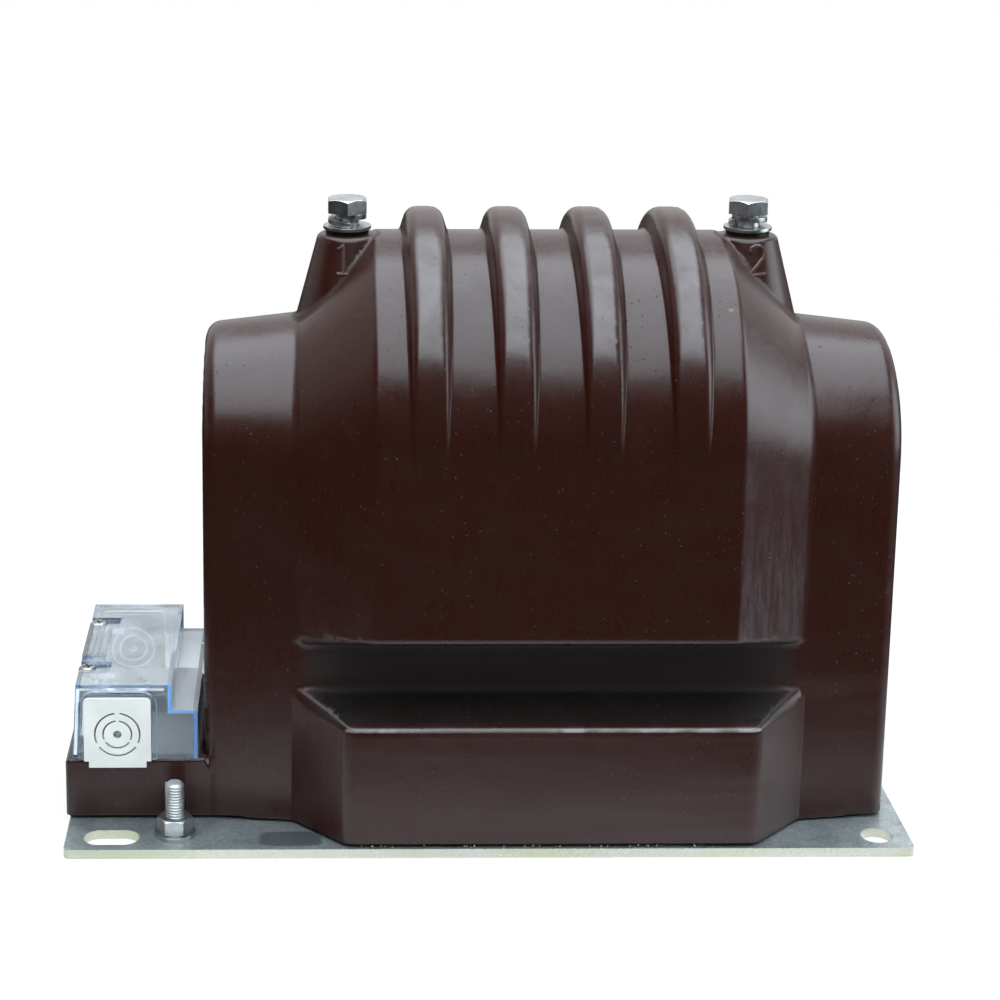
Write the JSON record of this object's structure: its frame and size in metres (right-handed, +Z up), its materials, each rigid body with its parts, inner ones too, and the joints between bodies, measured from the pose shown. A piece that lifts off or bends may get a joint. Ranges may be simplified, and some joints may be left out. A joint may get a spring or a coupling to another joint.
{
  "type": "cast resin voltage transformer",
  "caption": "Block-shaped cast resin transformer with a ribbed arched coil housing, two top screw terminals, a clear wiring cover and a flanged steel base plate.",
  "frame": {"origin": "middle of the base plate's underside", "axes": "+X along the plate away from the wiring cover, +Y from the front with the earth stud to the back, +Z up"},
  "size_m": [0.3515, 0.149, 0.2615],
  "materials": {
    "cast_resin": "dark red-brown filled epoxy, semi-gloss",
    "plate_zinc": "yellow-green passivated zinc on steel",
    "zinc_plated_steel": "bright zinc plating",
    "core_steel": "wound silicon steel strip",
    "pressboard": "varnished pressboard",
    "enamelled_copper": null,
    "insert_brass": "turned brass",
    "grey_plastic": "moulded grey plastic",
    "clear_plastic": "clear moulded polycarbonate with a blue edge tint",
    "white_plastic": "moulded white plastic"
  },
  "bodies": {
    "root": {"base_plate": "plate_zinc", "resin_casting": "cast_resin", "core_upper_half": "core_steel", "core_lower_half": "core_steel", "core_band": "zinc_plated_steel", "winding_tube": "pressboard", "low_voltage_winding": "enamelled_copper", "high_voltage_winding": "enamelled_copper", "hv_lead_left": "enamelled_copper", "hv_lead_right": "enamelled_copper", "hv_insert_left": "insert_brass", "hv_insert_right": "insert_brass", "hv_bolt_left": "zinc_plated_steel", "hv_bolt_right": "zinc_plated_steel", "hv_spring_washer_left": "zinc_plated_steel", "hv_spring_washer_right": "zinc_plated_steel", "hv_flat_washer_left": "zinc_plated_steel", "hv_flat_washer_right": "zinc_plated_steel", "earth_stud": "zinc_plated_steel", "earth_nut": "zinc_plated_steel", "earth_washer": "zinc_plated_steel", "terminal_tray": "grey_plastic", "terminal_cover": "clear_plastic", "gland_plate_front": "white_plastic", "gland_plate_rear": "white_plastic", "cover_screw_front": "zinc_plated_steel", "cover_screw_rear": "zinc_plated_steel", "cover_insert_front": "insert_brass", "cover_insert_rear": "insert_brass", "base_insert_1": "insert_brass", "base_insert_2": "insert_brass", "base_insert_3": "insert_brass", "base_insert_4": "insert_brass", "base_screw_1": "zinc_plated_steel", "base_screw_2": "zinc_plated_steel", "base_screw_3": "zinc_plated_steel", "base_screw_4": "zinc_plated_steel", "lv_insert_1": "insert_brass", "lv_insert_2": "insert_brass", "lv_insert_3": "insert_brass", "lv_insert_4": "insert_brass", "lv_screw_1": "zinc_plated_steel", "lv_screw_2": "zinc_plated_steel", "lv_screw_3": "zinc_plated_steel", "lv_screw_4": "zinc_plated_steel", "lv_spring_washer_1": "zinc_plated_steel", "lv_spring_washer_2": "zinc_plated_steel", "lv_spring_washer_3": "zinc_plated_steel", "lv_spring_washer_4": "zinc_plated_steel", "lv_flat_washer_1": "zinc_plated_steel", "lv_flat_washer_2": "zinc_plated_steel", "lv_flat_washer_3": "zinc_plated_steel", "lv_flat_washer_4": "zinc_plated_steel", "lv_lead_1": "enamelled_copper", "lv_lead_2": "enamelled_copper", "lv_lead_3": "enamelled_copper", "lv_lead_4": "enamelled_copper"}
  },
  "joints": []
}
